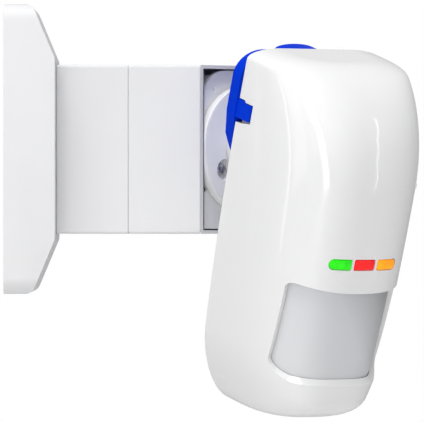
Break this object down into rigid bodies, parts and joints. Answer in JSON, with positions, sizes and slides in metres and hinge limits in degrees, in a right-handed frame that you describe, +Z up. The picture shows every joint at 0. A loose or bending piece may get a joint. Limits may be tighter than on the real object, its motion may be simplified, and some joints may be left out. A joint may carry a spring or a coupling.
{
  "type": "motion sensor",
  "caption": "Wall-mounted motion sensor: glossy white head with a lens window and status lamps, tilting on a ball joint at the end of a stacked arm.",
  "frame": {"origin": "middle of the back face that lies on the wall", "axes": "+X away from the wall along the arm, -Y towards the side the head is turned to, +Z up"},
  "size_m": [0.1522, 0.1067, 0.1519],
  "materials": {
    "arm_plastic": "fine satin white",
    "cover_plastic": "glossy white",
    "inner_plastic": "satin light grey",
    "blue_plastic": "satin blue",
    "lens_plastic": "milky translucent",
    "lamp_green": "clear green",
    "lamp_red": "clear red",
    "lamp_yellow": "clear amber",
    "steel": "zinc plated",
    "tin": "tinned",
    "circuit_board": "green solder mask",
    "black_plastic": "moulded black",
    "rubber": "matt grey rubber"
  },
  "bodies": {
    "bracket": {"wall_plate": "inner_plastic", "base_cover": "arm_plastic", "base_cover_screw_1": "steel", "base_cover_screw_2": "steel", "spacer_1": "arm_plastic", "spacer_2": "arm_plastic", "stack_bolt_1": "steel", "stack_bolt_2": "steel", "stack_bolt_3": "steel", "stack_bolt_4": "steel", "corner_housing": "arm_plastic", "socket_flange": "inner_plastic", "socket_disc": "arm_plastic", "socket_screw_1": "steel", "socket_screw_2": "steel", "cable_seal": "rubber", "ball_socket": "arm_plastic"},
    "swivel": {"ball_liner": "rubber"},
    "detector": {"ball_stud": "steel", "stud_screw_1": "steel", "stud_screw_2": "steel", "mount_adapter": "blue_plastic", "adapter_screw_1": "steel", "adapter_screw_2": "steel", "rear_casing": "inner_plastic", "case_gasket": "rubber", "cable_grommet": "rubber", "main_board": "circuit_board", "board_screw_1": "steel", "board_screw_2": "steel", "terminal_block": "black_plastic", "alarm_relay": "black_plastic", "tamper_relay": "black_plastic", "capacitor": "black_plastic", "pyro_sensor": "tin", "sensor_shroud": "black_plastic", "microwave_board": "circuit_board", "microwave_shield": "tin", "led_green": "lamp_green", "led_red": "lamp_red", "led_yellow": "lamp_yellow", "tamper_switch": "black_plastic", "trimmer_body_1": "black_plastic", "trimmer_body_2": "black_plastic"},
    "cover": {"front_cover": "cover_plastic", "fresnel_lens": "lens_plastic", "lens_frame": "inner_plastic", "lamp_window_green": "lamp_green", "lamp_window_red": "lamp_red", "lamp_window_yellow": "lamp_yellow", "cover_screw": "steel"},
    "plunger": {"tamper_plunger": "lamp_red"},
    "rotor_1": {"trimmer_rotor_1": "inner_plastic"},
    "rotor_2": {"trimmer_rotor_2": "inner_plastic"}
  },
  "joints": [
    {"name": "head_pan", "type": "hinge", "parent": "bracket", "child": "swivel", "pos_m": [0.09555, -0.00495, 0], "axis": [0, 0, 1], "range_deg": [-18, 30]},
    {"name": "head_tilt", "type": "hinge", "parent": "swivel", "child": "detector", "pos_m": [0.09555, -0.00495, 0], "axis": [0.7986, 0.6018, 0], "range_deg": [-16.6, 12.5]},
    {"name": "cover_swing", "type": "hinge", "parent": "detector", "child": "cover", "pos_m": [0.11485, -0.03056, 0.03687], "axis": [-0.7986, -0.6018, 0], "range_deg": [0, 35]},
    {"name": "tamper_press", "type": "slide", "parent": "detector", "child": "plunger", "axis": [0.5767, -0.7654, -0.2857], "range_m": [-0.001, 0], "stiffness_N_per_m": 250},
    {"name": "trimmer_1_turn", "type": "hinge", "parent": "detector", "child": "rotor_1", "pos_m": [0.12843, -0.02315, -0.01858], "axis": [0.5767, -0.7654, -0.2857], "range_deg": [-135, 135]},
    {"name": "trimmer_2_turn", "type": "hinge", "parent": "detector", "child": "rotor_2", "pos_m": [0.12671, -0.02087, -0.02816], "axis": [0.5767, -0.7654, -0.2857], "range_deg": [-135, 135]}
  ]
}
